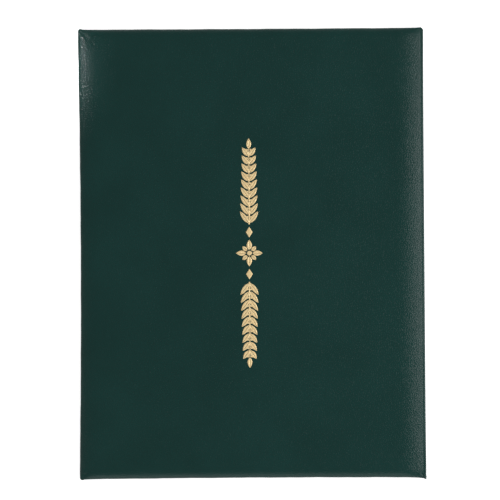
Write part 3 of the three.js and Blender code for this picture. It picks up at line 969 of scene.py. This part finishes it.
def fibre_group():
    """Fibrous board or open foam: specks at two scales."""
    group, place, scale, end = new_group("fibres", "Scale", 900.0, ("Specks", "Blotches"))
    specks = remap(group, noise(group, place, scale, 6.0)[0], 0.3, 0.7, 0.0, 1.0)
    blotches = noise(group, place, math_node(group, "MULTIPLY", scale, 0.08), 3.0)[0]
    feed(group, end, {"Specks": specks, "Blotches": blotches})
    return group


def new_material(name):
    """A material with a Principled shader, and its tree."""
    material = bpy.data.materials.new(name)
    material.use_nodes = True
    tree = material.node_tree
    shader = next(n for n in tree.nodes if n.type == "BSDF_PRINCIPLED")
    place = add(tree, "TexCoord").outputs["Object"]
    return material, tree, shader, place


def use_group(tree, group, sockets):
    """A group node's outputs in a material, with its own values."""
    return add(tree, "Group", sockets, node_tree=group).outputs


def set_bump(tree, shader, height, distance):
    """A bump on the shader's normal, with its depth in metres."""
    bump = add(tree, "Bump", {"Height": height, "Distance": distance, "Strength": 1.0})
    feed(tree, shader, {"Normal": bump.outputs["Normal"]})


# Linear red, green, blue and alpha of each material, dark and light

DARK_GREEN = (0.0014, 0.0330, 0.0278, 1)
LIFTED_GREEN = (0.0024, 0.0385, 0.0330, 1)
# painted shade: the darker green that is mixed into the grain's creases
CREASE_SHADE_GREEN = (0.0012, 0.0260, 0.0215, 1)
IVORY, WATERMARK_IVORY = (0.69, 0.64, 0.53, 1), (0.755, 0.71, 0.60, 1)
# painted shade and painted light: the ribbon's grooves darker and its rib crests lighter
RIBBON_GROOVE_SHADE, RIBBON_CREST_LIGHT = (0.008, 0.045, 0.035, 1), (0.02, 0.085, 0.068, 1)
DEEP_GOLD, PALE_GOLD = (0.96, 0.66, 0.31, 1), (1.0, 0.81, 0.45, 1)
CHIPBOARD = (0.20, 0.18, 0.15, 1), (0.42, 0.38, 0.32, 1)
FOAM = (0.55, 0.54, 0.50, 1), (0.82, 0.81, 0.77, 1)
FILM_TINT = (0.97, 0.98, 0.98, 1)
WHITE = (1, 1, 1, 1)
FLOOR_GREY = (0.8, 0.8, 0.8, 1)


def leatherette(grain):
    """Dark green leatherette: pebble grain with painted shade darkening its creases, and a soft, slightly
    uneven sheen.
    """
    material, tree, shader, place = new_material("green_leatherette")
    out = use_group(tree, grain, {"Vector": place})
    tone = remap(tree, out["Tone"], 0.35, 0.65, 0.0, 1.0)
    colour = mix_colour(tree, tone, DARK_GREEN, LIFTED_GREEN)
    # painted shade: the grain's creases are darkened in the base colour
    crease_shaded = mix_colour(tree, math_node(tree, "MULTIPLY", out["Crease"], 0.55), colour, CREASE_SHADE_GREEN)
    sheen = remap(tree, out["Tone"], 0.3, 0.7, 0.17, 0.21)
    rough = math_node(tree, "ADD", sheen, math_node(tree, "MULTIPLY", out["Crease"], 0.1))
    feed(tree, shader, {"Base Color": crease_shaded, "Roughness": rough, "Specular IOR Level": 0.25})
    set_bump(tree, shader, out["Height"], 0.00008)
    return material


def moire_lining(watered):
    """Ivory watered silk facing: satin ribs with brighter, smoother watermarks."""
    material, tree, shader, place = new_material("ivory_moire")
    out = use_group(tree, watered, {"Vector": place})
    colour = mix_colour(tree, out["Watermark"], IVORY, WATERMARK_IVORY)
    rough = remap(tree, out["Watermark"], 0.0, 1.0, 0.6, 0.34)
    feed(tree, shader, {"Base Color": colour, "Roughness": rough, "Sheen Weight": 0.2})
    set_bump(tree, shader, out["Ribs"], 0.00006)
    return material


def satin_ribbon(watered):
    """Green ribbed ribbon: fine cross ribs over its length, with painted shade in their grooves and painted
    light on their crests.
    """
    material, tree, shader, _ = new_material("green_ribbon")
    uv = add(tree, "UVMap", uv_map="weave").outputs[0]
    out = use_group(tree, watered, {"Vector": uv, "Ribs per metre": 1900.0})
    # painted shade in the rib grooves and painted light on their crests, following the ribs' height
    colour = mix_colour(tree, out["Ribs"], RIBBON_GROOVE_SHADE, RIBBON_CREST_LIGHT)
    rough = remap(tree, out["Watermark"], 0.0, 1.0, 0.44, 0.34)
    feed(tree, shader, {"Base Color": colour, "Roughness": rough})
    set_bump(tree, shader, out["Ribs"], 0.00009)
    return material


def gold_foil(fibres):
    """Pale gold hot-stamped foil: satin metal with a fine mottled texture from the grain below."""
    material, tree, shader, place = new_material("pale_gold_foil")
    out = use_group(tree, fibres, {"Vector": place, "Scale": 1500.0})
    colour = mix_colour(tree, out["Specks"], DEEP_GOLD, PALE_GOLD)
    rough = remap(tree, out["Specks"], 0.0, 1.0, 0.42, 0.3)
    feed(tree, shader, {"Base Color": colour, "Metallic": 0.3, "Roughness": rough})
    set_bump(tree, shader, out["Specks"], 0.00003)
    return material


def fibrous(name, fibres, scale, colours, depth):
    """Matte fibrous stuff, such as chipboard or foam."""
    material, tree, shader, place = new_material(name)
    out = use_group(tree, fibres, {"Vector": place, "Scale": scale})
    specks = math_node(tree, "MULTIPLY", out["Specks"], 0.6)
    mixed = math_node(tree, "ADD", specks, math_node(tree, "MULTIPLY", out["Blotches"], 0.4))
    rough = remap(tree, out["Specks"], 0.0, 1.0, 0.95, 0.86)
    feed(tree, shader, {"Base Color": mix_colour(tree, mixed, *colours), "Roughness": rough})
    set_bump(tree, shader, out["Specks"], depth)
    return material


def clear_film(fibres):
    """Clear glossy film: lets light through and mirrors it by the angle, with the faintest haze."""
    material, tree, shader, place = new_material("clear_film")
    out = use_group(tree, fibres, {"Vector": place, "Scale": 60.0})
    tree.nodes.remove(shader)
    through = add(tree, "BsdfTransparent", {"Color": FILM_TINT})
    rough = remap(tree, out["Blotches"], 0.3, 0.7, 0.05, 0.12)
    mirror = add(tree, "BsdfAnisotropic", {"Color": WHITE, "Roughness": rough})
    outside = math_node(tree, "SUBTRACT", 1.0, add(tree, "NewGeometry").outputs["Backfacing"])
    share = math_node(tree, "MULTIPLY", add(tree, "Fresnel", {"IOR": 1.4}).outputs[0], outside)
    mixed = add(tree, "MixShader", {0: share, 1: through.outputs[0], 2: mirror.outputs[0]})
    end = next(n for n in tree.nodes if n.type == "OUTPUT_MATERIAL")
    feed(tree, end, {"Surface": mixed.outputs[0]})
    return material


# Stage: floor, light and camera

PIXELS = 500
PIXELS_PER_MM = 1.505
COVER_CENTRE_PIXEL = (252.0, 253.2)
CAMERA_DISTANCE = 1300.0
CAMERA_TILT = math.radians(0.9)
CAMERA_ROLL = math.radians(0.345)
EDGE_HEIGHT = 6.0  # height at which the photograph's scale was taken
SENSOR = 36.0
WORLD_LEVEL = 0.43
WHITE_BELOW, GREY_ABOVE = 0.42, 0.62  # heights of a direction between which the white fades out
FLOOR_GLOW = 0.74  # what the floor needs on top of its light to show white
FLOOR_REACH = 4000.0
FLOOR_GAP = 0.1


def seen_rays(tree):
    """1 for camera, glossy and transmission rays, 0 for the rest."""
    path = add(tree, "LightPath")
    seen = math_node(tree, "MAXIMUM", path.outputs["Is Camera Ray"], path.outputs["Is Glossy Ray"])
    return math_node(tree, "MAXIMUM", seen, path.outputs["Is Transmission Ray"])


def make_world():
    """Soft light from all round; low over the floor it is white where it is seen."""
    world = bpy.data.worlds.new("studio")
    bpy.context.scene.world = world
    world.use_nodes = True
    tree = world.node_tree
    background = next(n for n in tree.nodes if n.type == "BACKGROUND")
    generated = add(tree, "TexCoord").outputs["Generated"]
    direction = add(tree, "SeparateXYZ", {0: generated})
    low = remap(tree, direction.outputs["Z"], WHITE_BELOW, GREY_ABOVE, 1.0, 0.0)
    extra = math_node(tree, "MULTIPLY", seen_rays(tree), 1 - WORLD_LEVEL)
    strength = math_node(tree, "ADD", WORLD_LEVEL, math_node(tree, "MULTIPLY", extra, low))
    feed(tree, background, {"Color": WHITE, "Strength": strength})


def make_floor():
    """A pale floor that shows white but keeps the cover's shadow."""
    x, y = np.meshgrid([-FLOOR_REACH, FLOOR_REACH], [-FLOOR_REACH, FLOOR_REACH])
    corners = np.stack([x, y, np.full((2, 2), BACK_LOW[2] - FLOOR_GAP)], axis=-1)
    floor = make_mesh("floor", corners.reshape(-1, 3), np.array([[0, 1, 3, 2]]))
    material, tree, shader, _ = new_material("floor_white")
    glow = math_node(tree, "MULTIPLY", seen_rays(tree), FLOOR_GLOW)
    feed(tree, shader, {"Base Color": FLOOR_GREY, "Roughness": 0.9, "Specular IOR Level": 0.1})
    feed(tree, shader, {"Emission Color": WHITE, "Emission Strength": glow})
    floor.data.materials.append(material)


def make_lamp(name, place, target, size, watts, spread=180):
    """A rectangular lamp at a place, facing a target; places in millimetres."""
    light = bpy.data.lights.new(name, "AREA")
    light.shape = "RECTANGLE"
    light.size, light.size_y = size[0] * MM, size[1] * MM
    light.energy = watts
    light.spread = math.radians(spread)
    lamp = bpy.data.objects.new(name, light)
    lamp.location = Vector(place) * MM
    direction = (Vector(target) - Vector(place)).normalized()
    lamp.rotation_euler = direction.to_track_quat("-Z", "Y").to_euler()
    bpy.context.scene.collection.objects.link(lamp)


def make_lights():
    """A softbox on the spine's side, a small snooted lamp on the free edge's head, a strip and a fill."""
    make_lamp("spine_side_softbox", (920, 40, 640), (0, 0, 0), (640, 800), 6.9)
    make_lamp("free_head_lamp", (-440, 205, 570), (-163, 130, 8), (30, 30), 0.03, 10)
    make_lamp("free_side_strip", (-640, -170, 520), (-114, -60, 0), (40, 300), 0.08)
    make_lamp("fill", (60, -1500, 1000), (0, 0, 0), (1300, 900), 5.2)


def make_camera():
    """The camera over the cover, set from the photograph's scale, centre, tilt and roll."""
    offset_x = (COVER_CENTRE_PIXEL[0] - PIXELS / 2) / PIXELS_PER_MM
    offset_y = (COVER_CENTRE_PIXEL[1] - PIXELS / 2) / PIXELS_PER_MM
    target = Vector((-offset_x, offset_y, EDGE_HEIGHT)) * MM
    data = bpy.data.cameras.new("camera")
    data.sensor_width = SENSOR
    data.lens = SENSOR * CAMERA_DISTANCE * PIXELS_PER_MM / PIXELS
    data.clip_start, data.clip_end = 0.05, 50
    camera = bpy.data.objects.new("camera", data)
    tilt = Matrix.Rotation(CAMERA_TILT, 4, "X")
    roll = Matrix.Rotation(-CAMERA_ROLL, 4, "Z")
    back = Matrix.Translation((0, 0, CAMERA_DISTANCE * MM))
    camera.matrix_world = Matrix.Translation(target) @ tilt @ roll @ back
    bpy.context.scene.collection.objects.link(camera)
    bpy.context.scene.camera = camera


# The cover

green = leatherette(pebble_grain_group())
watered_silk = moire_group()
fibres = fibre_group()
ivory = moire_lining(watered_silk)
ribbon_satin = satin_ribbon(watered_silk)
gold = gold_foil(fibres)
chipboard = fibrous("grey_chipboard", fibres, 900.0, CHIPBOARD, 0.0001)
foam = fibrous("white_foam", fibres, 1600.0, FOAM, 0.0003)
film = clear_film(fibres)


def finished(pieces, material):
    """Gives pieces their material."""
    for piece in pieces:
        piece.data.materials.clear()
        piece.data.materials.append(material)


finished([make_front_cover(), make_back_cover(), *make_spine()], green)
finished([make_pad()], foam)
panels = [
    lining_panel("front_lining_panel", "front_lining", "front"),
    lining_panel("back_lining_panel", "back_lining", "back"),
]
finished([*panels, *make_hinge_lining()], ivory)
ribbons = [
    ribbon_corner(f"ribbon_{side}_{end}", side_sign, end_sign)
    for side, side_sign in (("spine", 1), ("free", -1))
    for end, end_sign in (("head", 1), ("tail", -1))
]
finished(ribbons, ribbon_satin)
finished(make_ornament(), gold)
finished([frame["nodes"]["front_board"], frame["nodes"]["back_board"]], chipboard)
finished([frame["nodes"]["clear_film"]], film)

make_world()
make_floor()
make_lights()
make_camera()
bpy.context.scene.view_settings.view_transform = "Standard"
